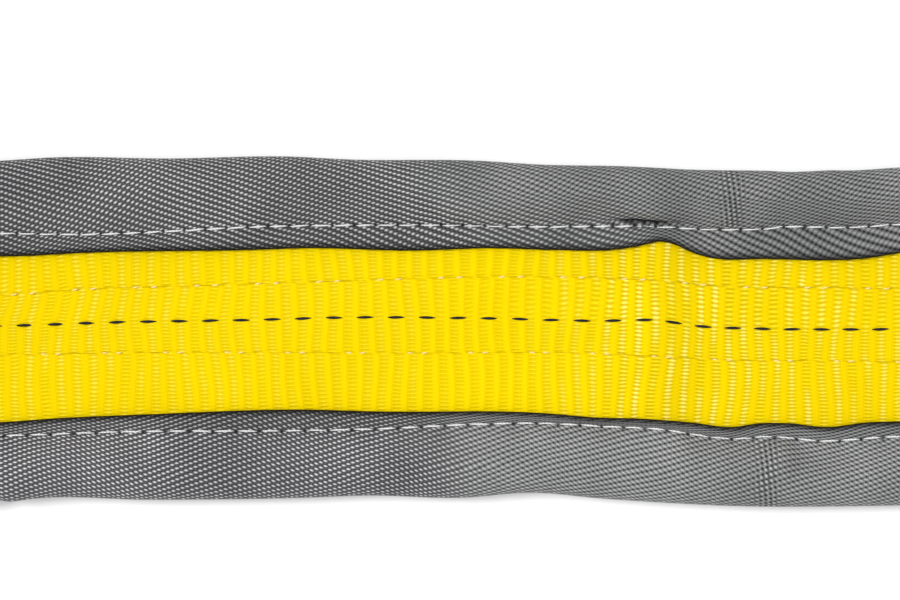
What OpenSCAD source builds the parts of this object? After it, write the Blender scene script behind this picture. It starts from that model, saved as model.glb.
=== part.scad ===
// Flat web sling: one long strap of webbing laid double and sewn, with an open eye at each end and
// a cloth wear sleeve sewn round its middle. It lies straight along X on a flat surface, face up.
// The origin is on that surface, under the middle of the sling. +X runs to the right eye, +Z is up.

/* [Sling] */
// Length over all, from eye bearing to eye bearing
sling_l = 1219; // [1100:1:2000]
// Length of each eye, from its throat to its bearing
eye_l = 229; // [180:1:235]
// Length of each bare leg, from the bend beside the sleeve to the throat of the eye
leg_l = 128; // [128:1:150]

/* [Webbing] */
// Width of the webbing
web_w = 50.8; // [49:0.1:52]
// Thickness of one ply
ply_t = 2.6; // [2.4:0.1:2.8]
// Spacing of the marker yarn's floats, which pass over two ribs of the webbing
marker_pitch = 6.5; // [6:0.5:10]
// Length of one float
float_l = 3.5; // [2.5:0.5:4]
// Distance of the marker yarn from the middle of the webbing
marker_y = 2; // [0:0.5:4]

/* [Sleeve] */
// Width of the sleeve over its side rolls
sleeve_w = 72.6; // [70:0.2:76]
// Height of the side rolls
roll_h = 10; // [9:0.5:12]
// Thickness of the sleeve cloth
cloth_t = 0.8; // [0.6:0.1:1]
// Width of the slot between the two hems, where the webbing shows
slot_w = 35; // [32:0.5:38]
// Width of each hem, from its fold to where the cloth rises into the roll
hem_w = 4.9; // [4:0.1:5.5]
// Bare webbing between the sleeve's end and the bend of the leg
end_gap = 12; // [12:1:20]

/* [Seams] */
// Distance of each sleeve seam from the middle
seam_y = 21.25; // [20.5:0.25:21.5]
// Spacing of the stitches
stitch_pitch = 4.5; // [4:0.5:6]
// Length of one stitch on the face
stitch_l = 3.4; // [2.5:0.1:3.5]
// Thickness of the thread
thread_w = 0.6; // [0.4:0.1:0.8]
// How far a stitch stands above the cloth
thread_h = 0.3; // [0.2:0.1:0.3]
// Far ply seam, distance from the middle
ply_seam_far = 9.5; // [8:0.5:11]
// Near ply seam, distance from the middle
ply_seam_near = -5.5; // [-11:0.5:-4]
// Length of the sewn block at each end of the body
block_l = 50; // [40:1:52]
// Rows of stitches in the sewn block
block_rows = 7; // [5:1:9]

/* [Eyes] */
// Outer radius of the eye at its bearing
bearing_r = 17; // [15:0.5:20]
// Length of the stacked runs between the throat and where they part
parting_l = 8; // [8:1:12]
// Thickness of the wear pad
pad_t = 1.2; // [1:0.1:1.5]
// Width of the wear pad
pad_w = 46; // [40:1:48]
// Length of the wear pad along each run of the eye
pad_run = 40; // [30:1:60]

/* [Label] */
// Width of the label
label_w = 38; // [30:1:44]
// Length of the loose flap
flap_l = 55; // [40:1:55]
// Length of the sewn tail
tail_l = 14; // [12:1:16]
// Thickness of the label
label_t = 0.8; // [0.8:0.1:0.8]
// Distance of the flap's fold from the bend of the leg
fold_at = 66; // [66:1:67]

/* [Hidden] */
$fn = 64;
running_gap = 0.3;                           // clearance between parts that turn past each other
far_out = 100;                               // larger than any cutting shape needs to be
two_ply = 2 * ply_t;
throat_x = sling_l / 2 - eye_l;              // axis of the eye's fold
bend_x = throat_x - leg_l;                   // axis of the leg's bend
sleeve_end = bend_x - end_gap;
web_end = bend_x - ply_t - running_gap;      // where the body's webbing stops short of the bend
web_top = cloth_t + two_ply;                 // face of the webbing inside the sleeve
hem_top = web_top + 2 * cloth_t;             // the hem is folded double
roll_r = roll_h / 2;
roll_y = sleeve_w / 2 - roll_r;              // centre line of a side roll
rise_y = slot_w / 2 + hem_w;                 // where the cloth leaves the hem for the roll
rise_angle = atan2(roll_h - hem_top, roll_y - rise_y);
rise_l = norm([roll_y - rise_y, roll_h - hem_top]);
yarn_w = 0.75;                               // marker yarn, width of a float
yarn_h = 0.2;                                // marker yarn, height of a float
label_z = two_ply + thread_h + 0.1 + label_t / 2;   // fold line of the label
fold_gap = 1.2;                              // room beside the fold for the tail's end
tail_from = fold_at - fold_gap - tail_l;     // start of the label's tail, from the bend

// The eye is drawn from the centre of its bearing. Its lower run is level. Its upper run rises from
// the throat at run_angle and meets the bearing's circle run_drop inside its tangent
run_drop = 0.1;
run_r = bearing_r - ply_t / 2 - run_drop;    // distance of the upper run's middle line from that centre
part_back = [eye_l - bearing_r - parting_l, bearing_r - ply_t * 1.5];   // from the parting to that centre
run_angle = atan2(part_back[1], part_back[0]) + asin(run_r / norm(part_back));
run_l = sqrt(part_back * part_back - run_r * run_r);

// Draws a shape of the X-Z plane w wide along Y
module across(w) rotate([90, 0, 0]) linear_extrude(w, center = true) children();

// Draws a shape of the Y-Z plane l long along X
module along(l) rotate([90, 0, 90]) linear_extrude(l, center = true) children();

module stitch(l, w = thread_w, h = thread_h) translate([-l / 2, -w / 2, 0]) cube([l, w, h]);

// A row of stitches along X, centred on x = 0
module stitch_row(row_l, pitch = stitch_pitch, l = stitch_l, w = thread_w, h = thread_h) {
    count = floor(row_l / pitch);
    for (i = [0 : count - 1])
        translate([(i - (count - 1) / 2) * pitch, 0, 0]) stitch(l, w, h);
}

// A row of stitches along Y
module cross_row(row_l) rotate([0, 0, 90]) stitch_row(row_l);

module marker_floats(row_l) stitch_row(row_l, marker_pitch, float_l, yarn_w, yarn_h);

// ---- middle of the sling ----

module body_ply(z) {
    edge_r = ply_t / 2;
    color("gold") along(2 * web_end) {
        translate([-web_w / 2 + edge_r, z]) square([web_w - ply_t, ply_t]);
        for (side = [-1, 1]) translate([side * (web_w / 2 - edge_r), z + edge_r]) circle(edge_r);
    }
}

module body_web_upper() body_ply(cloth_t + ply_t);

module body_web_lower() body_ply(cloth_t);

module sleeve_side() {
    // side roll
    difference() {
        translate([roll_y, roll_r]) circle(roll_r);
        translate([roll_y, roll_r]) circle(roll_r - cloth_t);
        translate([roll_y - far_out, 0]) square([far_out, roll_h]);
    }
    // cloth rising from the hem to the roll
    polygon([
        [rise_y, hem_top - cloth_t], [roll_y, roll_h - cloth_t], [roll_y, roll_h], [rise_y, hem_top]
    ]);
    // hem, folded double on the webbing's face
    translate([slot_w / 2, web_top]) square([hem_w, 2 * cloth_t]);
}

module sleeve() color("dimgray") along(2 * sleeve_end) {
    sleeve_side();
    mirror([1, 0]) sleeve_side();
    translate([-roll_y, 0]) square([2 * roll_y, cloth_t]);
}

module sleeve_seam(y) color("white") translate([0, y, hem_top]) stitch_row(2 * sleeve_end - stitch_pitch);

module sleeve_seam_far() sleeve_seam(seam_y);

module sleeve_seam_near() sleeve_seam(-seam_y);

// Stitches up the rise of the cloth, close to each end of the sleeve
module sleeve_end_stitching() color("white")
    for (end = [-1, 1], side = [0, 1]) mirror([0, side, 0])
        translate([end * (sleeve_end - stitch_pitch), rise_y, hem_top])
            rotate([rise_angle, 0, 0]) translate([0, rise_l / 2, 0]) cross_row(rise_l);

module ply_seam_stitching() color("goldenrod")
    for (y = [ply_seam_far, ply_seam_near])
        translate([0, y, web_top]) stitch_row(2 * web_end - marker_pitch, marker_pitch, h = yarn_h);

module body_marker_yarn() color("black")
    translate([0, marker_y, web_top]) marker_floats(2 * web_end - marker_pitch);

// ---- legs: drawn for the right, mirrored for the left ----

// One ply of the leg, with its half of the round bend. level is 0 for the lower ply, 1 for the upper
module leg_ply(level) color("gold") across(web_w) {
    translate([bend_x, level * ply_t]) square([leg_l - ply_t - running_gap, ply_t]);
    intersection() {
        translate([bend_x, ply_t]) circle(ply_t);
        translate([bend_x - far_out, level * ply_t]) square([far_out, ply_t]);
    }
}

module end_block() color("white") translate([throat_x - ply_t - block_l / 2, 0, two_ply])
    for (row = [0 : block_rows - 1])
        translate([0, (row - (block_rows - 1) / 2) * 6, 0]) stitch_row(block_l);

// The marker yarn's floats between the bend and the place of the label's tail
module leg_marker() color("black")
    translate([bend_x + tail_from / 2 + 3, marker_y, two_ply]) marker_floats(tail_from - 14);

module left() mirror([1, 0, 0]) children();

module right_leg_web_upper() leg_ply(1);

module right_leg_web_lower() leg_ply(0);

module right_end_stitching() end_block();

module right_leg_marker_yarn() leg_marker();

module left_leg_web_upper() left() leg_ply(1);

module left_leg_web_lower() left() leg_ply(0);

module left_end_stitching() left() end_block();

module left_leg_marker_yarn() left() leg_marker();

// ---- eyes ----

module at_bearing() translate([sling_l / 2 - bearing_r, 0, bearing_r]) children();

// All that lies inside the loop at radius r from the bearing's centre, as far back as the throat
module inside_loop(r) {
    back = eye_l - bearing_r;
    circle(r, $fn = 96);
    intersection() {
        translate([-back, -r]) square([back, 3 * r]);
        rotate(run_angle) translate([-2 * back, -2 * back]) square([2 * back, 2 * back + r - run_drop]);
    }
}

module eye_web() color("gold") at_bearing() across(web_w) {
    throat = bearing_r - eye_l;
    // round bend at the throat
    intersection() {
        translate([throat, ply_t - bearing_r]) circle(ply_t);
        translate([throat - far_out, -bearing_r]) square([far_out, two_ply]);
    }
    // stretch where the two runs are stacked
    translate([throat, -bearing_r]) square([parting_l, two_ply]);
    difference() {
        inside_loop(bearing_r);
        inside_loop(bearing_r - ply_t);
    }
}

module wear_pad() color("gray") at_bearing() across(pad_w) {
    pad_r = bearing_r - ply_t;
    intersection() {
        difference() {
            inside_loop(pad_r);
            inside_loop(pad_r - pad_t);
        }
        translate([-pad_run, -bearing_r]) square([pad_run + bearing_r, 2 * bearing_r]);
    }
}

module pad_stitching() color("white") at_bearing() {
    row_x = 4 - pad_run;
    face_r = bearing_r - ply_t - pad_t;
    row_l = pad_w - 6;
    translate([row_x, 0, -face_r]) cross_row(row_l);
    rotate([0, -run_angle, 0]) translate([row_x, 0, face_r - run_drop - thread_h]) cross_row(row_l);
}

module eye_marker() color("black") at_bearing() rotate([0, -run_angle, 0])
    translate([-run_l / 2, marker_y, bearing_r - run_drop]) marker_floats(run_l - marker_pitch);

module right_eye_web() eye_web();

module right_eye_wear_pad() wear_pad();

module right_eye_pad_stitching() pad_stitching();

module right_eye_marker_yarn() eye_marker();

module left_eye_web() left() eye_web();

module left_eye_wear_pad() left() wear_pad();

module left_eye_pad_stitching() left() pad_stitching();

module left_eye_marker_yarn() left() eye_marker();

// ---- label, on the left leg ----

module label_tail() color("royalblue") left() across(label_w)
    translate([bend_x + tail_from, two_ply]) square([tail_l, label_t]);

module label_stitching() color("white") left() {
    for (x = [3, tail_l - 3])
        translate([bend_x + tail_from + x, 0, two_ply + label_t]) cross_row(label_w - 4);
}

module label_flap() color("royalblue") left() across(label_w) {
    translate([bend_x + fold_at, label_z]) circle(label_t / 2);
    translate([bend_x + fold_at, label_z - label_t / 2]) square([flap_l, label_t]);
}

body_web_upper();
body_web_lower();
sleeve();
sleeve_seam_far();
sleeve_seam_near();
sleeve_end_stitching();
ply_seam_stitching();
body_marker_yarn();
left_leg_web_upper();
left_leg_web_lower();
left_end_stitching();
left_leg_marker_yarn();
right_leg_web_upper();
right_leg_web_lower();
right_end_stitching();
right_leg_marker_yarn();
left_eye_web();
left_eye_wear_pad();
left_eye_pad_stitching();
left_eye_marker_yarn();
right_eye_web();
right_eye_wear_pad();
right_eye_pad_stitching();
right_eye_marker_yarn();
label_tail();
label_stitching();
label_flap();
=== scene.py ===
import math

import bmesh
import bpy
import numpy as np
from mathutils import Matrix, Vector


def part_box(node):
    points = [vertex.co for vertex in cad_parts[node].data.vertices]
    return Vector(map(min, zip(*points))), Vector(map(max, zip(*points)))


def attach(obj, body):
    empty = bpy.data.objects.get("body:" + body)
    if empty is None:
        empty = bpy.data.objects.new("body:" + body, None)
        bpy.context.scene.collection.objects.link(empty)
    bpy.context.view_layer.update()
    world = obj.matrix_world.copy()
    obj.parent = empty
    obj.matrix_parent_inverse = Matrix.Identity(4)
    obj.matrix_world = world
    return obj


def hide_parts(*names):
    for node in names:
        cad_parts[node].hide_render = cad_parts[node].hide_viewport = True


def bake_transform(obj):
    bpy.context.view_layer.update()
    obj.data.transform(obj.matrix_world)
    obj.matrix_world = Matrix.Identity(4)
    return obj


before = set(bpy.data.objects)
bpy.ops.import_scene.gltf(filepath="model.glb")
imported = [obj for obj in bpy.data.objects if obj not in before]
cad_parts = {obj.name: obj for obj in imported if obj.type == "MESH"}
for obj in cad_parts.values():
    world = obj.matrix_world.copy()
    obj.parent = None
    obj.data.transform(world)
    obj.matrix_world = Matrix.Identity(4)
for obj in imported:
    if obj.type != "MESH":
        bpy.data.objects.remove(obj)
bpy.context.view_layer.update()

# ---- Load strap along the body ----
# One length of yellow polyester webbing, laid double. It is woven with a cross rib every 3.25 mm, and
# its warp yarns ride over every other rib, so each rib is a column of small flat teeth. Two lengthwise
# seams hold the plies together, and each pulls a shallow groove into the face.

MM = 0.001
web_low, web_high = (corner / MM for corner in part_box("body_web_upper"))
ply_t = web_high.z - web_low.z
web_half = web_high.y
face_z = web_high.z
sleeve_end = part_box("sleeve")[1].x / MM
throat_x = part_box("right_end_stitching")[1].x / MM + ply_t
bend_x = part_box("right_leg_web_upper")[0].x / MM + ply_t
bend_half = 8
rib_pitch = 3.25
tooth_pitch = 0.83
marker_y = 2.0
groove_far = 9.5
groove_near = -5.5
crease_x = 44.0
row_step = 0.54

# The webbing's pieces meet under the sleeve's ends, and 97 ribs from the middle, short of the blocks.
hidden_x = sleeve_end - 5
split_x = 97 * rib_pitch


def line_through(*points):
    """A smooth curve through a few points (distance along the sling, height), level past its ends."""
    px, py = np.array(points, float).T
    slope = np.gradient(py, px)
    slope[[0, -1]] = 0

    def at(x):
        x = np.clip(x, px[0], px[-1])
        i = np.clip(np.searchsorted(px, x) - 1, 0, len(px) - 2)
        w = px[i + 1] - px[i]
        t = (x - px[i]) / w
        rise = t * t * (3 - 2 * t)
        bow = slope[i] * t * (1 - t) ** 2 - slope[i + 1] * t * t * (1 - t)
        return py[i] * (1 - rise) + py[i + 1] * rise + w * bow

    return at


def ease(x, start, end):
    """0 before start, 1 after end, and a smooth step between."""
    t = np.clip((x - start) / (end - start), 0, 1)
    return t * t * (3 - 2 * t)


def bump_at(x, centre, width):
    """A smooth hump, 1 at its centre."""
    return np.exp(-(((x - centre) / width) ** 2))


# The lengthwise lines of the webbing wander a little, because the seams pull it: where they run.
marker_line = line_through(
    (-240, 2), (-180, 1.6), (-130, 1), (-96, 0.5), (-70, 1.3), (-45, 1.7), (-20, 2.3), (8, 2.1),
    (35, 1.6), (42, 1.8), (48, 1.2), (54, 0.3), (62, 0), (96, -0.2), (140, 0.8), (190, 1.8), (240, 2),
)
far_groove_line = line_through(
    (-240, 9.5), (-150, 8.6), (-96, 7), (-78, 8.3), (-55, 9), (-34, 9.7), (-15, 10.3), (6, 10.9),
    (32, 10.7), (45, 10.1), (57, 9), (83, 8.6), (96, 8.4), (150, 9.2), (240, 9.5),
)
near_groove_line = line_through(
    (-240, -5.5), (-94, -5.7), (-74, -5.3), (-10, -5.3), (34, -5.5), (45, -6.1), (57, -6.7),
    (83, -7), (96, -7.2), (150, -6), (240, -5.5),
)

# How deep the valleys between the ribs are, and how boldly the teeth's painted light, shade and highlight
# show: the webbing is pressed smooth left of the crease, and is roughest on it.
rib_height = line_through(
    (-240, 0.4), (-60, 0.4), (-30, 0.2), (-5, 0.14), (25, 0.16), (36, 0.34), (60, 0.42), (240, 0.4)
)
tooth_bold = line_through(
    (-240, 0.6), (-60, 0.55), (-35, 0.3), (-10, 0.2), (20, 0.3), (34, 1.5), (41, 2.8), (46, 2.8),
    (56, 2.3), (240, 2),
)

# The grooves in the webbing's face: where across it, how deep, and how wide to each side.
face_grooves = ((groove_far, 0.32, 0.35), (groove_near, 0.28, 0.35), (marker_y, 0.1, 0.6))


def crease_lift(x):
    """The hump where the webbing was once folded, across the whole sleeved stretch."""
    return 0.9 * bump_at(x, crease_x, 5) - 0.25 * bump_at(x, crease_x + 10, 4) + 0.3 * bump_at(x, -70, 14)


def true_across(x, across):
    """Where the warp yarn that is woven at that distance from the middle lies."""
    inside = 1 - ease(np.abs(x), hidden_x - 30, hidden_x)
    out = across.astype(float).copy() * np.ones_like(x)
    knots = [-web_half, groove_near, marker_y, groove_far, web_half]
    shift = [0, near_groove_line(x) - groove_near, marker_line(x) - marker_y,
             far_groove_line(x) - groove_far, 0]
    for k in range(4):
        part = (across >= knots[k]) & (across < knots[k + 1])
        share = (across - knots[k]) / (knots[k + 1] - knots[k])
        out += np.where(part, (shift[k] * (1 - share) + shift[k + 1] * share) * inside, 0)
    return out


def rib_count(along, across):
    """How many ribs lie between the middle and that place, with the lean of the ribs."""
    lean = 0.28 * ease(-along, 34, 62) * np.clip(across - marker_y, 0, groove_far - marker_y)
    lean += 0.05 * np.sin(along / 31) * across
    step = 0.9 * ease(across, groove_far - 0.2, groove_far + 0.2)
    step -= 0.7 * ease(-across, -groove_near - 0.2, -groove_near + 0.2)
    wobble = 0.35 * np.sin(along / 9.7 + across / 6.1) + 0.22 * np.sin(along / 4.3 - across / 3.7)
    return (along - lean + step + wobble) / rib_pitch


def strap_section(step):
    """Points round the webbing's edge: distance across, share of half the thickness, and normal."""
    edge_r = ply_t / 2
    flat = web_half - edge_r
    face = set(np.round(np.linspace(-flat, flat, int(2 * flat / step) + 1), 2))
    for line in (groove_near, marker_y, groove_far):
        face = {y for y in face if abs(y - line) > 1.1}
        face |= {line + away for away in (-1, -0.6, -0.3, 0, 0.3, 0.6, 1)}
    face = sorted(face)
    back = list(np.linspace(flat, -flat, int(flat / step) + 1))
    turn = [math.radians(a) for a in (72, 54, 36, 18, 0, -18, -36, -54, -72)]
    across = face + [flat + edge_r * math.cos(a) for a in turn]
    across += back + [-flat - edge_r * math.cos(a) for a in turn]
    up = [1.0] * len(face) + [math.sin(a) for a in turn]
    up += [-1.0] * len(back) + [-math.sin(a) for a in turn]
    out = [0.0] * len(face) + [math.cos(a) for a in turn]
    out += [0.0] * len(back) + [-math.cos(a) for a in turn]
    return np.array(across), np.array(up), np.array(out)


def skin(name, points, pattern):
    """A closed skin. points[i, j] is row i along the piece and column j round it, in millimetres."""
    rows, columns = points.shape[:2]
    mesh = bpy.data.meshes.new(name)
    bm = bmesh.new()
    bmesh.ops.create_grid(bm, x_segments=rows - 1, y_segments=columns, size=1)
    bm.to_mesh(mesh)
    bm.free()
    grid = np.zeros(len(mesh.vertices) * 3, np.float32)
    mesh.vertices.foreach_get("co", grid)
    grid = grid.reshape(-1, 3)
    i = np.rint((grid[:, 0] + 1) / 2 * (rows - 1)).astype(int)
    j = np.rint((grid[:, 1] + 1) / 2 * columns).astype(int) % columns
    mesh.vertices.foreach_set("co", (points[i, j] * MM).astype(np.float32).ravel())
    kept = mesh.attributes.new("weave", "FLOAT_VECTOR", "POINT")
    kept.data.foreach_set("vector", pattern[i, j].astype(np.float32).ravel())
    bm = bmesh.new()
    bm.from_mesh(mesh)
    bmesh.ops.remove_doubles(bm, verts=bm.verts, dist=1e-6)
    for face in bm.faces:
        face.smooth = True
    open_edges = [e for e in bm.edges if e.is_boundary]
    bmesh.ops.holes_fill(bm, edges=open_edges, sides=0)
    bmesh.ops.recalc_face_normals(bm, faces=bm.faces)
    bm.to_mesh(mesh)
    bm.free()
    piece = bpy.data.objects.new(name, mesh)
    bpy.context.scene.collection.objects.link(piece)
    return piece


def strap(name, line, start, on_body, step=1.0, calm=0.0):
    """Webbing whose middle follows line, points (along the sling, up) in millimetres, one for each row.
    start is the first row's place along the sling, on_body gives the wander and grooves of the sleeved
    stretch, and calm is how much of the ribs' depth is left out where the webbing is hidden."""
    along_line = np.concatenate([[0], np.cumsum(np.hypot(*np.diff(line, axis=0).T))])
    way = np.gradient(line, along_line, axis=0)
    way /= np.hypot(*way.T)[:, None]
    across, up, out = strap_section(step)
    x = line[:, :1]
    z = line[:, 1:]
    s = start + along_line[:, None]
    ribs = rib_count(s, across[None, :])
    tall = rib_height(s) if on_body else 0.4
    crest = 0.5 - 0.5 * np.cos(2 * math.pi * ribs)
    relief = -tall * (1 - crest ** 0.8) * np.abs(up) * (1 - calm)
    if on_body:
        for groove_y, depth, half_w in face_grooves:
            relief = relief - depth * np.where(up > 0.99, bump_at(across, groove_y, half_w), 0)
    relief = relief - 0.18 * (1 - crest) * np.abs(out)
    y = true_across(x, across[None, :]) if on_body else across[None, :] + 0 * x
    rise = up[None, :] * ply_t / 2 + relief * up[None, :]
    px = x - way[:, 1:] * rise
    pz = z + way[:, :1] * rise
    py = y + relief * out[None, :]
    points = np.stack([px, py, pz], axis=2)
    bold = tooth_bold(s) if on_body else 1.0
    return skin(name, points, np.stack([ribs, across[None, :] + 0 * s, bold + 0 * ribs], axis=2))


def shader(name, roughness, **settings):
    """A new material and its node tree."""
    made = bpy.data.materials.new(name)
    made.use_nodes = True
    principled = made.node_tree.nodes["Principled BSDF"]
    principled.inputs["Roughness"].default_value = roughness
    for socket, value in settings.items():
        principled.inputs[socket.replace("_", " ")].default_value = value
    return made, made.node_tree, principled


def add_node(tree, kind, settings=None, **sockets):
    """A node with its settings, and its inputs set to numbers or joined to other nodes' outputs."""
    made = tree.nodes.new(kind)
    for key, value in (settings or {}).items():
        setattr(made, key, value)
    for key, value in sockets.items():
        socket = made.inputs[int(key[1:])] if key[0] == "i" and key[1:].isdigit() else made.inputs[key]
        if isinstance(value, bpy.types.NodeSocket):
            tree.links.new(value, socket)
        else:
            socket.default_value = value
    return made


def maths(tree, operation, a, b=0.0, c=0.0):
    return add_node(tree, "ShaderNodeMath", {"operation": operation}, i0=a, i1=b, i2=c).outputs[0]


def ramp(tree, value, *stops):
    """A colour ramp through stops of (place, red, green, blue)."""
    made = add_node(tree, "ShaderNodeValToRGB", i0=value)
    bar = made.color_ramp
    while len(bar.elements) < len(stops):
        bar.elements.new(0.5)
    for element, (place, *colour) in zip(bar.elements, stops):
        element.position = place
        element.color = (*colour, 1)
    return made.outputs[0]


def fade(tree, value, *stops):
    """A grey ramp through stops of (place, brightness)."""
    return ramp(tree, value, *[(place, level, level, level) for place, level in stops])


def weave_axes(tree):
    """The three values that a skin keeps for its pattern."""
    place = add_node(tree, "ShaderNodeAttribute", {"attribute_name": "weave"}).outputs["Vector"]
    return add_node(tree, "ShaderNodeSeparateXYZ", Vector=place).outputs


def distance(tree, value, place):
    """How far value lies from place, on either side."""
    return maths(tree, "ABSOLUTE", maths(tree, "SUBTRACT", value, place))


def grain(tree, scale, detail=2.0, coordinates=None):
    """Noise on the piece's own coordinates, with scale in patches to the metre."""
    if coordinates is None:
        coordinates = add_node(tree, "ShaderNodeTexCoord").outputs["Object"]
    return add_node(tree, "ShaderNodeTexNoise", Vector=coordinates, Scale=scale, Detail=detail).outputs[0]


def mix(tree, share, a, b, blend="MIX"):
    """Colour a with that share of b laid over it."""
    made = add_node(tree, "ShaderNodeMix", {"data_type": "RGBA", "blend_type": blend})
    for socket, value in ((made.inputs[0], share), (made.inputs[6], a), (made.inputs[7], b)):
        if isinstance(value, bpy.types.NodeSocket):
            tree.links.new(value, socket)
        else:
            socket.default_value = value
    return made.outputs[2]


def relief_from(tree, principled, height, depth, under=None):
    """Bump whose full height is depth metres."""
    made = add_node(tree, "ShaderNodeBump", Height=height, Distance=depth, Strength=1.0)
    if under is not None:
        tree.links.new(under, made.inputs["Normal"])
    tree.links.new(made.outputs[0], principled.inputs["Normal"])
    return made.outputs[0]


def webbing_teeth(tree, ribs, woven_at):
    """Where a place lies in its rib (0 to 1), the teeth's height, and their share on the lit slope."""
    across = maths(tree, "MULTIPLY_ADD", grain(tree, 150), 1.1, woven_at)
    over_rib = maths(tree, "SINE", maths(tree, "MULTIPLY", ribs, math.pi))
    yarn = maths(tree, "SINE", maths(tree, "MULTIPLY", across, 2 * math.pi / tooth_pitch))
    tooth = maths(tree, "MULTIPLY", maths(tree, "SIGN", over_rib), yarn)
    phase = maths(tree, "FRACT", ribs)
    slope = fade(tree, phase, (0.02, 0.2), (0.16, 1), (0.5, 1), (0.72, 0.15), (0.95, 0.1))
    return phase, tooth, slope


def webbing_painted_highlight(tree, ribs, woven_at, phase, level):
    """The painted highlight on the teeth: how bright it is. Some ribs have it, as patches, and others
    hardly.
    """
    rib_number = maths(tree, "MULTIPLY", maths(tree, "FLOOR", ribs), 0.73)
    down_rib = maths(tree, "MULTIPLY", woven_at, 0.06)
    rib_place = add_node(tree, "ShaderNodeCombineXYZ", X=rib_number, Y=down_rib).outputs[0]
    lucky = fade(tree, grain(tree, 1.0, 1.0, rib_place), (0.38, 0.06), (0.58, 1))
    narrow = fade(tree, phase, (0.14, 0), (0.27, 1), (0.42, 1), (0.56, 0))
    peak = fade(tree, level, (0.35, 0.08), (0.85, 0.7))
    uneven = fade(tree, grain(tree, 420), (0.35, 0.3), (0.65, 1))
    on_tooth = maths(tree, "MULTIPLY", narrow, peak)
    return maths(tree, "MULTIPLY", on_tooth, maths(tree, "MULTIPLY", lucky, uneven))


def ply_seam_slit_shadow(tree, colour, woven_at):
    """Painted shadow in the slits of the two ply seams, broken here and there."""
    for line in (groove_far, groove_near):
        near = maths(tree, "LESS_THAN", distance(tree, woven_at, line), 0.12)
        broken = fade(tree, grain(tree, 260), (0.42, 0.08), (0.6, 0.7))
        colour = mix(tree, maths(tree, "MULTIPLY", near, broken), colour, (0.42, 0.28, 0.0, 1))
    return colour


def webbing_finish(name, seamed):
    """Ribbed yellow webbing. Its teeth lie on the left slope of each rib, with painted light and shade and a
    painted highlight, and its valleys are darker with painted shade.
    """
    made, tree, principled = shader(name, 0.55, Specular_IOR_Level=0.02)
    ribs, woven_at, bold = weave_axes(tree)
    phase, tooth, slope = webbing_teeth(tree, ribs, woven_at)
    level = maths(tree, "MULTIPLY_ADD", tooth, 0.5, 0.5)
    # The teeth are the weave's pattern, painted lighter on top and darker between them as light and shade.
    teeth_pattern_and_shading = ramp(tree, level, (0.1, 0.57, 0.40, 0.0), (0.45, 0.78, 0.575, 0.0), (0.85, 0.86, 0.665, 0.004))
    bolder = maths(tree, "MINIMUM", maths(tree, "MULTIPLY_ADD", bold, 0.3, 0.4), 1.0)
    colour = mix(tree, maths(tree, "MULTIPLY", slope, bolder), (0.83, 0.615, 0.0, 1), teeth_pattern_and_shading)
    # A cream painted highlight on the teeth.
    lit = maths(tree, "MULTIPLY", webbing_painted_highlight(tree, ribs, woven_at, phase, level), bold)
    colour = mix(tree, maths(tree, "MINIMUM", lit, 0.9), colour, (0.95, 0.80, 0.17, 1))
    # Painted shade darkens the valleys between the ribs.
    painted_valley_shade = ramp(tree, phase, (0, 0.88, 0.85, 0.7), (0.2, 0.97, 0.96, 0.9), (0.4, 1, 1, 1), (0.86, 1, 1, 1),
                  (1, 0.88, 0.85, 0.7))
    colour = mix(tree, 1.0, colour, painted_valley_shade, "MULTIPLY")
    tone = ramp(tree, grain(tree, 45), (0.3, 0.965, 0.955, 0.9), (0.7, 1, 1, 1))
    colour = mix(tree, 1.0, colour, tone, "MULTIPLY")
    if seamed:
        colour = ply_seam_slit_shadow(tree, colour, woven_at)
    tree.links.new(colour, principled.inputs["Base Color"])
    fine = relief_from(tree, principled, grain(tree, 5000, 3.0), 0.00002)
    relief_from(tree, principled, maths(tree, "MULTIPLY", tooth, slope), 0.00009, fine)
    return made


seamed_webbing = webbing_finish("yellow_webbing_seamed", True)
yellow_webbing = webbing_finish("yellow_webbing", False)


def level_line(start, end, step, height):
    """A row at every step from start to end, at the height that the function height gives."""
    x = np.linspace(start, end, int(abs(end - start) / step) + 1)
    return np.stack([x, height(x) + 0 * x], axis=1)


def upper_height(x):
    """Middle of the upper ply: it steps down where the sleeve's cloth ends below it."""
    on_cloth = 1 - ease(np.abs(x), sleeve_end, bend_x + bend_half)
    return 1.5 * ply_t + (face_z - 2 * ply_t) * on_cloth + crease_lift(x)


def lower_height(x):
    return upper_height(x) - ply_t - crease_lift(x)


body_upper = strap("webbing_body_upper", level_line(-hidden_x, hidden_x, row_step, upper_height),
                   -hidden_x, True)
body_lower = strap("webbing_body_lower", level_line(-hidden_x, hidden_x, 1.5, lower_height),
                   -hidden_x, False, step=3, calm=0.7)
for piece, node in ((body_upper, "body_web_upper"), (body_lower, "body_web_lower")):
    piece.data.materials.append(seamed_webbing)
    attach(piece, "body")
    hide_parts(node)

# ---- Legs and eyes ----
# The same webbing leaves the sleeve, steps down onto the ground and is sewn ply to ply before the
# throat, where it parts into the eye: one loop, flat below, standing open round its bearing.

eye_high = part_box("right_eye_web")[1] / MM
bearing_r = eye_high.z / 2
bearing_x = eye_high.x - bearing_r
sides = (("left", -1), ("right", 1))


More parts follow.
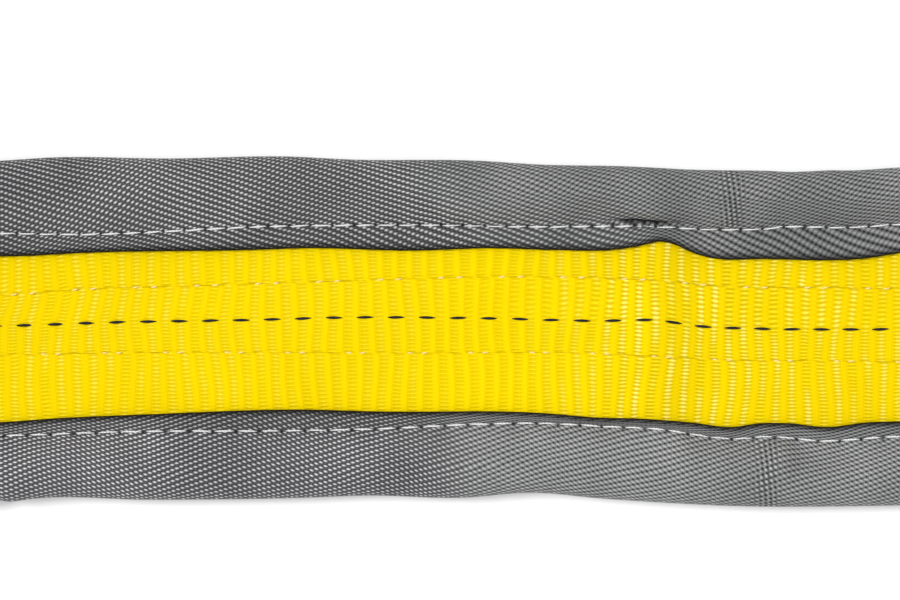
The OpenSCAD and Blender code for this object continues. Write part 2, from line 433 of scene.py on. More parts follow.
def eye_line():
    """The webbing's middle from the upper ply, round the eye, back to the lower ply, softly rounded."""
    middle_r = bearing_r - ply_t / 2
    parting = Vector((throat_x + 8, 1.5 * ply_t))
    centre = Vector((bearing_x, bearing_r))
    away = centre - parting
    tilt = math.atan2(away.y, away.x) + math.asin(middle_r / away.length)
    turn = np.linspace(math.pi / 2 + tilt, -math.pi / 2, 60)
    arc = [(centre.x + middle_r * math.cos(a), centre.y + middle_r * math.sin(a)) for a in turn]
    corners = np.array([(split_x, 1.5 * ply_t), (parting.x, parting.y), *arc, (split_x, ply_t / 2)])
    along = np.concatenate([[0], np.cumsum(np.hypot(*np.diff(corners, axis=0).T))])
    even = np.linspace(0, along[-1], int(along[-1] / 0.6) + 1)
    line = np.stack([np.interp(even, along, corners[:, k]) for k in range(2)], axis=1)
    window = np.hanning(27)
    window /= window.sum()
    padded = np.pad(line, ((13, 13), (0, 0)), mode="reflect", reflect_type="odd")
    return np.stack([np.convolve(padded[:, k], window, mode="valid") for k in range(2)], axis=1)


right_eye_line = eye_line()


def mirrored(line, side):
    """The right-hand line, or its mirror image for the left."""
    return line * np.array([side, 1.0])


for name, side in sides:
    for level, height, step in (("upper", upper_height, 1.0), ("lower", lower_height, 1.5)):
        leg_line = level_line(side * hidden_x, side * split_x, row_step, height)
        leg = strap(f"webbing_{name}_leg_{level}", leg_line, side * hidden_x, level == "upper", step=step)
        leg.data.materials.append(yellow_webbing)
        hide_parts(f"{name}_leg_web_{level}")
        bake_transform(leg)
    eye = strap(f"webbing_{name}_eye", mirrored(right_eye_line, side), side * split_x, False, step=1.3)
    eye.data.materials.append(yellow_webbing)
    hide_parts(f"{name}_eye_web")
    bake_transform(eye)

# ---- Wear sleeve ----
# One piece of heavy grey polyester cloth wrapped round the webbing. Its long edges are folded double
# into hems that lie on the webbing's face, and the slack at both sides rolls out into puffy bands.

sleeve_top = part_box("sleeve")[1].z / MM
cloth_t = 0.8
hem_z = face_z + 2 * cloth_t
roll_w = 6.2
stitch_pitch = 4.55
thread_x = 0.93
thread_y = 0.595
thread_skew = 0.31
tuck_x = 41.5
pucker_x = 59.8
pucker_pitch = 1.13

# Half the sleeve's width, its seams and its hems' folds, on the far and the near side of the middle.
far_side_line = line_through(
    (-240, 36), (-200, 36.5), (-150, 35.6), (-96, 35.7), (-85, 36.4), (-60, 36.2), (-34, 36.6), (-22, 36),
    (6, 35.7), (19, 34.9), (38, 34.5), (52, 33.8), (67, 33.6), (82, 33.4), (96, 34.3), (130, 35.6),
    (180, 36.3), (240, 36),
)
far_seam_line = line_through(
    (-240, 21.2), (-170, 21.5), (-120, 20.6), (-96, 20.2), (-74, 20), (-60, 20.6), (-43, 21.5), (-20, 21.9),
    (0, 21.9), (15, 21.6), (45, 21.5), (53, 21.1), (66, 21.1), (72, 21.6), (83, 21.4), (96, 22.1),
    (150, 21.4), (240, 21.2),
)
far_hem_line = line_through(
    (-240, 17.4), (-170, 16.8), (-120, 16.2), (-92, 15.3), (-78, 16), (-40, 16.7), (-32, 17), (-7, 16.5),
    (8, 17), (23, 16.6), (34, 16.6), (40, 17.4), (45, 18.4), (48, 17.7), (51, 16.3), (54, 15.3), (68, 14.7),
    (89, 14.9), (96, 16), (130, 17), (190, 16.8), (240, 17.5),
)
near_side_line = line_through(
    (-240, 36.4), (-180, 36), (-130, 36.9), (-96, 37.4), (-89, 36.4), (-64, 36.6), (-32, 36.2), (-17, 35.7),
    (2, 36.2), (18, 35.1), (32, 36.3), (51, 37.5), (60, 37.9), (83, 38), (96, 37.8), (140, 36.6),
    (190, 36), (240, 36.4),
)
near_seam_line = line_through(
    (-240, 21.4), (-150, 22), (-93, 22.8), (-68, 22), (-32, 21.8), (-15, 21.4), (6, 20.4), (17, 20.2),
    (35, 21), (45, 21.5), (53, 22.8), (61, 23.6), (66, 23.1), (81, 24), (89, 23.4), (96, 23), (150, 21.8),
    (240, 21.3),
)
near_hem_line = line_through(
    (-240, 17.5), (-150, 18.6), (-96, 20), (-83, 19.1), (-64, 18.3), (-32, 17.3), (-15, 17.7), (19, 18),
    (32, 19), (40, 19.2), (51, 20), (60, 21), (66, 20.2), (72, 20.2), (80, 21), (89, 20), (96, 19.8),
    (150, 18), (240, 17.5),
)

# Where the stitches of each seam lie: their number from the left, and their middle along the sling.
far_run = np.array([(-32, -239.5), (0, -94.4), (14, -32), (23, 9.7), (41, 91.4), (74, 241.5)]).T
near_run = np.array([(-30, -239.5), (0, -92.4), (22, 16.1), (39, 94.4), (71, 241.5)]).T


def stitch_count(x, side):
    """The number of stitches, with its fraction, that the seam has made at x."""
    number, place = far_run if side > 0 else near_run
    return np.interp(x, place, number)


def seam_dip(x, side):
    """The cloth is drawn down at every hole and swells a little under each stitch."""
    return 0.16 * np.cos(2 * math.pi * stitch_count(x, side))


def seam_level(x):
    """The height of the cloth under the seams."""
    return hem_z - 0.25 + 0.8 * crease_lift(x)


def band_folds(x, out, side):
    """Wrinkles of the puffy band. out is 0 at the seam and 1 at the side."""
    slack = np.sin(math.pi * np.clip(out, 0, 1)) ** 0.7
    near_seam = np.exp(-out * 4.5) * ease(out, 0.0, 0.1)
    folds = 0.34 * np.sin(x / 7.3 + 3 * out + side) + 0.26 * np.sin(x / 11.9 - 5 * out + 2 * side)
    folds = folds + 0.16 * np.sin(x / 3.1 + 9 * out - side)
    pulls = 0.22 * np.sin(2 * math.pi * x / (2 * stitch_pitch) + 1.3 * side + 2 * np.sin(x / 17))
    own = far_band_folds(x, out) if side > 0 else near_band_folds(x, out)
    return folds * slack * 1.2 + pulls * near_seam * 1.6 + own


def far_band_folds(x, out):
    """The tuck beside the crease, the swelling above it, the pucker, and a dent and a bulge at the side."""
    upright = (1 - out) * ease(out, 0, 0.25)
    return (
        -2.8 * bump_at(x, tuck_x, 6) * bump_at(out, 0.06, 0.038)
        + 1.0 * bump_at(x, tuck_x + 1, 9) * bump_at(out, 0.26, 0.13)
        + 1.1 * bump_at(x + 1.5 * out, pucker_x, 2) * upright
        - 0.7 * bump_at(x, 72, 3) * bump_at(out, 0.75, 0.2)
        + 0.8 * bump_at(x, 81, 4) * bump_at(out, 0.8, 0.2)
    )


def near_band_folds(x, out):
    """The pucker, and a slanting dent at the left."""
    upright = (1 - out) * ease(out, 0, 0.25)
    return 1.0 * bump_at(x, 71, 2.4) * upright - 1.0 * bump_at(x + 9 * out, -88, 2) * ease(out, 0.35, 0.9)


def section_rows(x, side):
    """One half of the outer face, as rows of (across, height, out), from the middle of its back round
    the side roll and over the band to the hem's fold. out is 9 on the back, falls from 1.5 to 1 round
    the roll and to 0 at the seam, and to -1 at the fold."""
    hem_y, seam_y, side_y = (
        (far_hem_line(x), far_seam_line(x), far_side_line(x)) if side > 0
        else (near_hem_line(x), near_seam_line(x), near_side_line(x))
    )
    plump = sleeve_top - 0.4 + 0.5 * np.sin(x / 23 + side)
    top_y = side_y - roll_w
    rows = []
    for k in range(6):
        rows.append((k / 6 * top_y, 0 * x + 0.02, 0 * x + 9))
    for k in range(12):
        a = math.radians(-90 + 15 * k)
        rows.append((top_y + roll_w * math.cos(a), plump / 2 * (1 + math.sin(a)), 0 * x + 1.5 - k / 24))
    for k in range(26):
        t = (1 - k / 26) ** 1.4
        y = seam_y + (top_y - seam_y) * t
        z = seam_level(x) + (plump - seam_level(x)) * math.sin(math.pi / 2 * t) ** 0.75
        rows.append((y, z, (y - seam_y) / (side_y - seam_y)))
    for k in range(10):
        t = k / 9
        y = seam_y + (hem_y + 0.8 - seam_y) * t
        z = seam_level(x) + 0.3 * math.sin(math.pi / 2 * min(1, t * 2.2)) - 0.12 * t
        rows.append((y, z + 0.2 * crease_lift(x) * t, 0 * x - t))
    return (np.stack([row[k] + 0 * x for row in rows], axis=1) for k in range(3))


def half_section(x, side):
    """Outer face of one half with its wrinkles: across, height, the outward way, and out."""
    y, z, out = section_rows(x, side)
    lift = np.where((out > 0) & (out < 1.5), band_folds(x[:, None], np.clip(out, 0, 1), side), 0)
    at_seam = np.clip(1 - np.abs(out) * 6, 0, 1)
    lift = lift + np.where(out < 1.5, seam_dip(x, side)[:, None] * at_seam, 0)
    wave = 0.12 * np.sin(x / 2.7 + side)[:, None] + 0.1 * np.sin(x / 6.1)[:, None]
    lift = lift + np.where(out < 0, wave * -out, 0)
    lift = np.where(out > 2, 0, lift)
    steep_y, steep_z = np.gradient(y, axis=1), np.gradient(z, axis=1)
    size = np.hypot(steep_y, steep_z) + 1e-9
    normal_y, normal_z = steep_z / size, -steep_y / size
    return y + normal_y * lift, z + normal_z * lift, normal_y, normal_z, out


def half_skin(x, side):
    """One half of the cloth's whole section, outer face, rounded fold and inner face: (across, height,
    out). The hem is two cloths thick, and the inner face stays clear of the webbing."""
    y, z, normal_y, normal_z, out = half_section(x, side)
    doubled = ease(-out, -0.22, -0.16) * ease(out, -2, -1.9)
    thick = cloth_t + (cloth_t - 0.05) * np.where(out < 0.5, doubled, 0)
    in_y, in_z = y - normal_y * thick, z - normal_z * thick
    in_z = np.maximum(in_z, np.where(out < 0.2, face_z + 0.04 + crease_lift(x)[:, None], cloth_t))
    in_z = np.where(out > 2, cloth_t, in_z)
    in_y[:, -1] = y[:, -1]
    turn = np.radians([60, 30, 0, -30, -60])
    top, low = z[:, -1:], in_z[:, -1:]
    fold_y = y[:, -1:] - 0.8 * np.cos(turn)
    fold_z = (top + low) / 2 + (top - low) / 2 * np.sin(turn)
    fold_out = np.array([-1.05, -1.15, -1.3, -1.45, -1.6]) + 0 * x[:, None]
    half_y = np.concatenate([side * y, side * fold_y, side * in_y[:, ::-1]], axis=1)
    half_z = np.concatenate([z, fold_z, in_z[:, ::-1]], axis=1)
    return half_y, half_z, np.concatenate([np.where(out > 2, 0.5, out), fold_out, -1.6 + 0 * out], axis=1)


def sleeve_points(x):
    """The sleeve's rows of points, and for each the seam's stitches, the way round it, and out."""
    halves = [half_skin(x, side) for side in (1, -1)]
    y, z, out = (np.concatenate([halves[0][k], halves[1][k][:, ::-1]], axis=1) for k in range(3))
    steps = [np.concatenate([[0], np.cumsum(np.hypot(np.diff(h[0][0]), np.diff(h[1][0])))]) for h in halves]
    around = np.concatenate([steps[0], steps[1][::-1]]) + 0 * y
    beats = [stitch_pitch * stitch_count(x, side)[:, None] + 0 * halves[0][0] for side in (1, -1)]
    pattern = np.stack([np.concatenate(beats, axis=1), around, out], axis=2)
    return np.stack([x[:, None] + 0 * y, y, z], axis=2), pattern


def object_axes(tree):
    """The piece's own coordinates, in metres."""
    where = add_node(tree, "ShaderNodeTexCoord").outputs["Object"]
    return add_node(tree, "ShaderNodeSeparateXYZ", Vector=where).outputs


def cloth_weave(tree, beats, around, on_hem, object_x):
    """Two gratings that cross, one for each set of yarns, and wander a little. The first is the
    stronger where the rows of floats show, and the two are even where the cloth looks softer."""
    along = maths(tree, "MULTIPLY_ADD", grain(tree, 38, 1.0), 2.4, beats)
    finer = maths(tree, "MULTIPLY_ADD", on_hem, 0.35, 1.0)
    round_it = maths(tree, "MULTIPLY", around, finer)
    round_it = maths(tree, "MULTIPLY_ADD", grain(tree, 30, 1.0), 3.5, round_it)
    leaning = maths(tree, "MULTIPLY_ADD", along, thread_skew, round_it)
    warp_turn = maths(tree, "MULTIPLY", along, math.pi / thread_x)
    weft_turn = maths(tree, "MULTIPLY", leaning, math.pi / thread_y)
    rows = maths(tree, "COSINE", maths(tree, "SUBTRACT", warp_turn, weft_turn))
    crossing = maths(tree, "COSINE", maths(tree, "ADD", warp_turn, weft_turn))
    patches = maths(tree, "MULTIPLY_ADD", object_x, 4.5, grain(tree, 22, 1.0))
    soft_share = fade(tree, patches, (0.48, 0.05), (0.72, 0.9))
    right_part = fade(tree, maths(tree, "MULTIPLY", object_x, 10.0), (0.4, 0), (0.56, 1))
    right_hem = maths(tree, "MULTIPLY", on_hem, right_part)
    leans = maths(tree, "MULTIPLY_ADD", right_hem, 0.3, grain(tree, 36, 1.0))
    balance = fade(tree, leans, (0.35, 0.44), (0.65, 0.7))
    even = maths(tree, "MULTIPLY", soft_share, maths(tree, "SUBTRACT", 0.8, on_hem))
    balance = mix(tree, maths(tree, "MAXIMUM", even, 0.0), balance, (0.47, 0.47, 0.47, 1))
    weaker = maths(tree, "MULTIPLY", crossing, maths(tree, "SUBTRACT", 1.0, balance))
    over = maths(tree, "SUBTRACT", maths(tree, "MULTIPLY", rows, balance), weaker)
    warp_gap = maths(tree, "SUBTRACT", 1.0, maths(tree, "ABSOLUTE", maths(tree, "SINE", warp_turn)))
    weft_gap = maths(tree, "SUBTRACT", 1.0, maths(tree, "ABSOLUTE", maths(tree, "SINE", weft_turn)))
    return over, maths(tree, "MULTIPLY", warp_gap, weft_gap), soft_share


def cloth_colour(tree, over, painted_pit_shade, soft_share):
    """The weave's pattern with painted light and shade: rounded floats of one yarn painted bright as if lit,
    greyer ones of the other, and painted shade in the pits at their corners.
    """
    level = maths(tree, "MULTIPLY_ADD", over, 0.5, 0.5)
    crisp = ramp(tree, level, (0, 0.12, 0.12, 0.123), (0.15, 0.04, 0.04, 0.041), (0.34, 0.03, 0.03, 0.031),
                 (0.52, 0.1, 0.1, 0.102), (0.7, 0.2, 0.2, 0.203), (0.84, 0.37, 0.37, 0.375),
                 (1, 0.66, 0.66, 0.67))
    soft = ramp(tree, level, (0, 0.012, 0.012, 0.012), (0.14, 0.03, 0.031, 0.03), (0.3, 0.14, 0.143, 0.14),
                (0.55, 0.2, 0.204, 0.2), (1, 0.34, 0.345, 0.34))
    colour = mix(tree, soft_share, crisp, soft)
    # Painted shade darkens the pits.
    return mix(tree, 1.0, colour, fade(tree, painted_pit_shade, (0.3, 1), (0.75, 0.3)), "MULTIPLY")


def with_painted_pucker_shading(tree, colour, out, object_x, object_y):
    """Painted light and shade at the two puckers: light and dark upright lines, in place of the few columns
    that the gathered yarns stand in.
    """
    leant = maths(tree, "MULTIPLY_ADD", object_y, 0.12, object_x)
    drawn = maths(tree, "COSINE", maths(tree, "MULTIPLY", leant, 2 * math.pi / (pucker_pitch * MM)))
    middle = maths(tree, "MULTIPLY_ADD", maths(tree, "LESS_THAN", object_y, 0.0), -0.0075, object_x)
    beside = maths(tree, "MULTIPLY", distance(tree, middle, pucker_x * MM), 100.0)
    pucker = maths(tree, "MULTIPLY", fade(tree, beside, (0.08, 0.85), (0.36, 0)),
                   maths(tree, "GREATER_THAN", out, 0.05))
    painted_pucker_stripes = fade(tree, maths(tree, "MULTIPLY_ADD", drawn, 0.5, 0.5), (0.15, 0.4), (0.85, 1.35))
    return mix(tree, pucker, colour, mix(tree, 1.0, colour, painted_pucker_stripes, "MULTIPLY"))


def with_tuck_painted_shadow(tree, colour, out, object_x, object_y):
    """Painted shadow down in the tuck beside the crease, on the far side only."""
    along = maths(tree, "ABSOLUTE", maths(tree, "MULTIPLY_ADD", object_x, 100.0, -4.13))
    across = distance(tree, out, 0.058)
    painted_hollow_shadow = maths(tree, "MULTIPLY", fade(tree, along, (0.25, 1), (0.62, 0)),
                   fade(tree, across, (0.015, 1), (0.045, 0)))
    painted_hollow_shadow = maths(tree, "MULTIPLY", painted_hollow_shadow, maths(tree, "GREATER_THAN", object_y, 0.0))
    return mix(tree, maths(tree, "MULTIPLY", painted_hollow_shadow, 0.9), colour, (0.008, 0.008, 0.009, 1))


def with_stitch_hole_shade(tree, colour, out, beats):
    """A hole at both ends of every stitch of the seam, darkened with painted shade."""
    beat = maths(tree, "FRACT", maths(tree, "DIVIDE", beats, stitch_pitch))
    in_hole = fade(tree, distance(tree, beat, 0.5), (0.04, 1), (0.1, 0))
    at_seam = fade(tree, maths(tree, "ABSOLUTE", maths(tree, "ADD", out, 0.015)), (0.025, 1), (0.06, 0))
    hole = maths(tree, "MULTIPLY", maths(tree, "MULTIPLY", in_hole, at_seam), 0.85)
    return mix(tree, hole, colour, (0.01, 0.01, 0.011, 1))


def cloth_finish(name):
    """Heavy plain weave. The skin's pattern counts the seam's stitches, measures the way round the
    cloth, and runs 0 to 1 across the band, 0 to -1 across the hem and lower round its fold."""
    made, tree, principled = shader(name, 0.5, Specular_IOR_Level=0.1)
    beats, around, out = weave_axes(tree)
    object_x, object_y, _ = object_axes(tree)
    on_hem = maths(tree, "LESS_THAN", out, 0.0)
    over, painted_pit_shade, soft_share = cloth_weave(tree, beats, around, on_hem, object_x)
    colour = cloth_colour(tree, over, painted_pit_shade, soft_share)
    colour = with_painted_pucker_shading(tree, colour, out, object_x, object_y)
    tone = ramp(tree, grain(tree, 60), (0.3, 0.82, 0.82, 0.83), (0.7, 1.15, 1.15, 1.15))
    colour = mix(tree, 1.0, colour, tone, "MULTIPLY")
    # Painted light: the near band is made lighter than the far one.
    nearness = maths(tree, "MULTIPLY", object_y, -10.0)
    near_side_painted_light = ramp(tree, nearness, (0.2, 1, 1, 1), (0.24, 1.17, 1.16, 1.18))
    colour = mix(tree, 1.0, colour, near_side_painted_light, "MULTIPLY")
    colour = with_tuck_painted_shadow(tree, colour, out, object_x, object_y)
    shaded = fade(tree, maths(tree, "MULTIPLY_ADD", out, 0.5, 1.0), (0.26, 0.04), (0.45, 0.05), (0.5, 0.32),
                  (0.57, 0.72), (0.65, 0.84), (0.99, 0.84), (1, 1))
    colour = mix(tree, 1.0, colour, shaded, "MULTIPLY")
    colour = with_stitch_hole_shade(tree, colour, out, beats)
    tree.links.new(colour, principled.inputs["Base Color"])
    fuzz = relief_from(tree, principled, grain(tree, 4000, 3.0), 0.00004)
    relief_from(tree, principled, maths(tree, "ABSOLUTE", over), 0.00016, fuzz)
    return made


grey_cloth = cloth_finish("grey_sleeve_cloth")

# Rows lie closest where the puckers are, and far apart past the crease's reach.
sleeve_rows = np.concatenate([
    np.linspace(-sleeve_end, -102, 56), np.arange(-100, 55, 0.9), np.arange(55, 74, 0.45),
    np.arange(74, 102, 0.9), np.linspace(103, sleeve_end, 56),
])
sleeve = skin("sleeve_cloth", *sleeve_points(sleeve_rows))
sleeve.data.materials.append(grey_cloth)
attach(sleeve, "body")
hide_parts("sleeve")

# ---- Threads and yarns that show on the surface ----
# Each stitch or float is a short length of yarn that comes up, lies on the cloth and dives back, so
# it is a slim lens with its ends sunk in.

# Length, width and height of the marker's floats, and of the stitches of blocks, pads and label.
float_size = (3.8, 0.62, 0.4)
block_stitch = (3.7, 0.6, 0.5)
label_stitch = (3.7, 0.55, 0.5)


def thread_piece(name, dashes, finish, slot_name, *nodes):
    """One piece of many dashes: (centre, direction along, direction up, length, width, height)."""
    bm = bmesh.new()
    for centre, along, up, length, width, height in dashes:
        made = bmesh.ops.create_uvsphere(bm, u_segments=8, v_segments=6, radius=1)["verts"]
        for v in made:
            thin = math.sqrt(max(0.0, 1 - v.co.z ** 2)) ** 0.5
            v.co = Vector((v.co.z * length / 2, v.co.y * thin * width / 2, v.co.x * thin * height / 2))
            v.co.z -= 0.3 * height * (2 * v.co.x / length) ** 2
        along, up = Vector(along).normalized(), Vector(up).normalized()
        sideways = up.cross(along).normalized()
        turn = Matrix((along, sideways, along.cross(sideways))).transposed().to_4x4()
        place = Matrix.Translation(Vector(centre) * MM) @ turn @ Matrix.Scale(MM, 4)
        bmesh.ops.transform(bm, matrix=place, verts=made)
    for face in bm.faces:
        face.smooth = True
    bmesh.ops.recalc_face_normals(bm, faces=bm.faces)
    mesh = bpy.data.meshes.new(name)
    bm.to_mesh(mesh)
    bm.free()
    piece = bpy.data.objects.new(name, mesh)
    bpy.context.scene.collection.objects.link(piece)
    mesh.materials.append(finish)
    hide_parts(*nodes)
    return piece


def thread_finish(name, colour, dark, roughness=0.6):
    """Twisted thread: fine slanting strands, with painted shade in the line between them."""
    made, tree, principled = shader(name, roughness, Specular_IOR_Level=0.2)
    place = add_node(tree, "ShaderNodeTexCoord").outputs["Object"]
    twist = add_node(tree, "ShaderNodeTexWave", {"bands_direction": "DIAGONAL"}, Vector=place, Scale=900.0,
                     Distortion=1.0).outputs["Fac"]
    tree.links.new(ramp(tree, twist, (0.1, *dark), (0.6, *colour)), principled.inputs["Base Color"])
    relief_from(tree, principled, twist, 0.00006)
    return made


white_thread = thread_finish("white_thread", (0.80, 0.80, 0.78), (0.5, 0.5, 0.49))
black_yarn = thread_finish("black_yarn", (0.012, 0.012, 0.016), (0.004, 0.004, 0.006), 0.7)
pale_thread = thread_finish("pale_seam_thread", (0.85, 0.72, 0.33), (0.75, 0.58, 0.12))


def seam_dashes(line, run, side):
    """The stitches of one seam. Those in the tuck beside the crease are half drawn in."""
    dashes = []
    for k in range(int(run[0][0]) + 1, int(run[0][-1])):
        x = float(np.interp(k, run[0], run[1]))
        y0, y1 = (float(line(np.array(v))) for v in (x - 1.6, x + 1.6))
        z = float(seam_level(np.array(x))) + 0.12
        if side > 0:
            z -= 0.3 * float(bump_at(x, 43, 4))
        slope = float(seam_level(np.array(x + 1.6)) - seam_level(np.array(x - 1.6))) / 3.2
        tilt = 0.03 * math.sin(3.7 * k) + (0.035 if side > 0 else -0.01)
        dashes.append(((x, side * (y0 + y1) / 2, z), (1, side * (y1 - y0) / 3.2 + tilt, slope), (0, 0, 1),
                       4.1 + 0.3 * math.sin(5.1 * k), 0.47, 0.5))
    return dashes


for name, line, run, side, node in (
    ("far_seam_stitches", far_seam_line, far_run, 1, "sleeve_seam_far"),
    ("near_seam_stitches", near_seam_line, near_run, -1, "sleeve_seam_near"),
):
    dashes = seam_dashes(line, run, side)
    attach(thread_piece(name, dashes, white_thread, "sleeve_thread", node), "body")

end_dashes = []
for side in (1, -1):
    for end in (-1, 1):
        x = np.array([end * (sleeve_end - stitch_pitch)])
        y, z, _, _, out = half_section(x, side)
        band = (out[0] > 0.02) & (out[0] < 0.62)
        ys, zs = y[0][band][::-1], z[0][band][::-1]
        for k in range(3):
            at = ys[0] + 1.5 + 3.1 * k
            height, ahead, back = (float(np.interp(v, ys, zs)) for v in (at, at + 1, at - 1))
            end_dashes.append(((x[0], side * at, height + 0.08), (0.05, side, (ahead - back) / 2), (0, 0, 1),
                               2.6, 0.55, 0.5))
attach(thread_piece("sleeve_end_stitches", end_dashes, white_thread, "sleeve_thread",
                     "sleeve_end_stitching"), "body")

marker_pitch = 6.5
marker_lift = -0.08


def face_dash(x, line, lift, size, lean=0.0):
    """A dash on the webbing's upper face, along the line that its yarn follows."""
    y0, y1 = (float(line(np.array(v))) for v in (x - 1.8, x + 1.8))
    top = upper_height(np.array([x - 1.2, x, x + 1.2])) + ply_t / 2
    slope = float(top[2] - top[0]) / 2.4
    return (x, (y0 + y1) / 2, float(top[1]) + lift), (1, (y1 - y0) / 3.6 + lean, slope), (0, 0, 1), *size


# Five floats fix the places of the rest: their number and their middle along the sling.
float_count = np.array([-36, -14, 6, 14, 36])
float_at = np.interp(np.arange(-36, 37), float_count, (-233.7, -90.7, 41.3, 91.7, 234.7))
marker_dashes = [
    face_dash(x, marker_line, marker_lift, float_size, 0.03 * math.sin(2.3 * k))
    for k, x in enumerate(float_at)
]
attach(thread_piece("body_marker_floats", marker_dashes, black_yarn, "marker_yarn", "body_marker_yarn"),
        "body")

# ---- Ply seams ----
# Two runs of fine pale thread sew the plies together lengthwise. The thread is drawn down into the
# webbing, so only short points of it show, in pairs, where a stitch crosses a rib.

speck_pitch = 13
far_specks = ((-1.9, (1.5, 0.42, 0.5), 0.12), (2.0, (1.5, 0.42, 0.5), 0.12))
near_specks = ((4.5, (1.3, 0.4, 0.5), -0.1), (-5.5, (1.4, 0.4, 0.5), 0.1))
speck_dashes = []
for k in range(-18, 19):
    for groove_line, specks in ((far_groove_line, far_specks), (near_groove_line, near_specks)):
        for away, size, lean in specks:
            speck_dashes.append(face_dash(speck_pitch * k + away, groove_line, -0.2, size, lean))
speck_dashes = [dash for dash in speck_dashes if abs(dash[0][0]) < sleeve_end]
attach(thread_piece("ply_seam_points", speck_dashes, pale_thread, "webbing_thread", "ply_seam_stitching"),
        "body")

# ---- Marker yarn and sewn blocks of the legs and eyes ----
# The marker floats go on along the legs and round the eyes. At each end the plies are sewn together
# by seven rows of white stitches, boxed by a row across at both ends of the block.

block_l = 48
block_end = throat_x - 4
block_rows = range(-3, 4)
row_gap = 6
across_stitches = [-15.75 + 4.5 * k for k in range(8)]
tail_low, tail_high = (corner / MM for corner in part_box("label_tail"))
eye_along = np.concatenate([[0], np.cumsum(np.hypot(*np.diff(right_eye_line, axis=0).T))])


def eye_dash(at, side, offset, across, size, lengthwise=True):
    """A dash on the eye's webbing, at a distance along its line and across it."""
    x, z = (float(np.interp(at, eye_along, right_eye_line[:, k])) for k in range(2))
    ahead = [float(np.interp(at + 1, eye_along, right_eye_line[:, k])) for k in range(2)]
    way = Vector((ahead[0] - x, 0, ahead[1] - z)).normalized()
    up = Vector((-way.z, 0, way.x))
    centre = Vector((x, across, z)) + up * offset
    along = way if lengthwise else Vector((0, 1, 0))
    if side < 0:
        centre.x, along.x, up.x = -centre.x, -along.x, -up.x
    return tuple(centre), tuple(along), tuple(up), *size


for name, side in sides:
    under_label = (-tail_high.x - 1, -tail_low.x + 2) if side < 0 else (0, 0)
    beside, past, round_eye = [], [], []
    for k in range(200):
        x = (37.12 + k) * marker_pitch
        if hidden_x < x < block_end and not under_label[0] < x < under_label[1]:
            dash = face_dash(side * x, marker_line, marker_lift, float_size)
            (beside if x < split_x - 2 else past).append(dash)
        at = x - split_x
        if throat_x + 10 - split_x < at < eye_along[-1] / 2 + 12:
            round_eye.append(eye_dash(at, side, ply_t / 2 + marker_lift, marker_y, float_size))
    near_sleeve = thread_piece(f"{name}_leg_marker_floats", beside, black_yarn, "marker_yarn",
                               f"{name}_leg_marker_yarn")
    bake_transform(near_sleeve)
    near_eye = thread_piece(f"{name}_leg_marker_floats_near_eye", past, black_yarn, "marker_yarn",
                            f"{name}_leg_marker_yarn")
    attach(near_eye, f"{name}_leg")
    on_eye = thread_piece(f"{name}_eye_marker_floats", round_eye, black_yarn, "marker_yarn",
                          f"{name}_eye_marker_yarn")
    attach(on_eye, f"{name}_eye")
    block = []
    for row in block_rows:
        for k in range(int(block_l / stitch_pitch)):
            centre = (side * (block_end - (k + 0.5) * stitch_pitch), row_gap * row, 2 * ply_t + 0.08)
            block.append((centre, (1, 0.05 * math.sin(k + row), 0), (0, 0, 1), *block_stitch))
    for end in (0, 10.6):
        for across in across_stitches:
            centre = (side * (block_end - 0.2 - end * stitch_pitch), across, 2 * ply_t + 0.08)
            block.append((centre, (0.04, 1, 0), (0, 0, 1), *block_stitch))
    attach(thread_piece(f"{name}_end_block_stitches", block, white_thread, "end_thread",
                         f"{name}_end_stitching"), f"{name}_leg")

# ---- Wear pads of the eyes ----
# A strip of the sleeve's cloth lines the bearing of each eye, where a hook rubs. It lies inside the
# loop and is held by a row of white stitches across each of its ends.

pad_low, pad_high = (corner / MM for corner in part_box("right_eye_wear_pad"))
pad_half = pad_high.y
pad_t = 1.2
pad_back = bearing_x - pad_low.x


def offset_line(line, away):
    """The line moved sideways by that distance."""
    way = np.gradient(line, axis=0)
    way /= np.hypot(*way.T)[:, None]
    return line + away * np.stack([-way[:, 1], way[:, 0]], axis=1)


def cloth_strip(name, line, half_w, thick, shape=None):
    """A plain strip of cloth with rounded edges, whose middle follows line."""
    along = np.concatenate([[0], np.cumsum(np.hypot(*np.diff(line, axis=0).T))])[:, None]
    turn = np.radians([60, 30, 0, -30, -60])
    flat = np.linspace(-half_w + thick / 2, half_w - thick / 2, 34)
    edge = half_w - thick / 2 + thick / 2 * np.cos(turn)
    across = np.concatenate([flat, edge, flat[::-1], -edge])
    up = np.concatenate([np.ones(34), np.sin(turn), -np.ones(34), -np.sin(turn)])
    way = np.gradient(line, axis=0)
    way /= np.hypot(*way.T)[:, None]
    rise = up[None, :] * thick / 2 + (shape(along, across[None, :]) if shape else 0)
    x = line[:, :1] - way[:, 1:] * rise
    z = line[:, 1:] + way[:, :1] * rise
    y = across[None, :] + 0 * along
    return skin(name, np.stack([x, y, z], axis=2), np.stack([along + 0 * y, y, 0.5 + 0 * y], axis=2))


def worn_cloth(along, across):
    """The slight waviness of cloth that a hook has rubbed."""
    return 0.08 * np.sin(along / 5 + across / 9) * np.cos(across / 7)


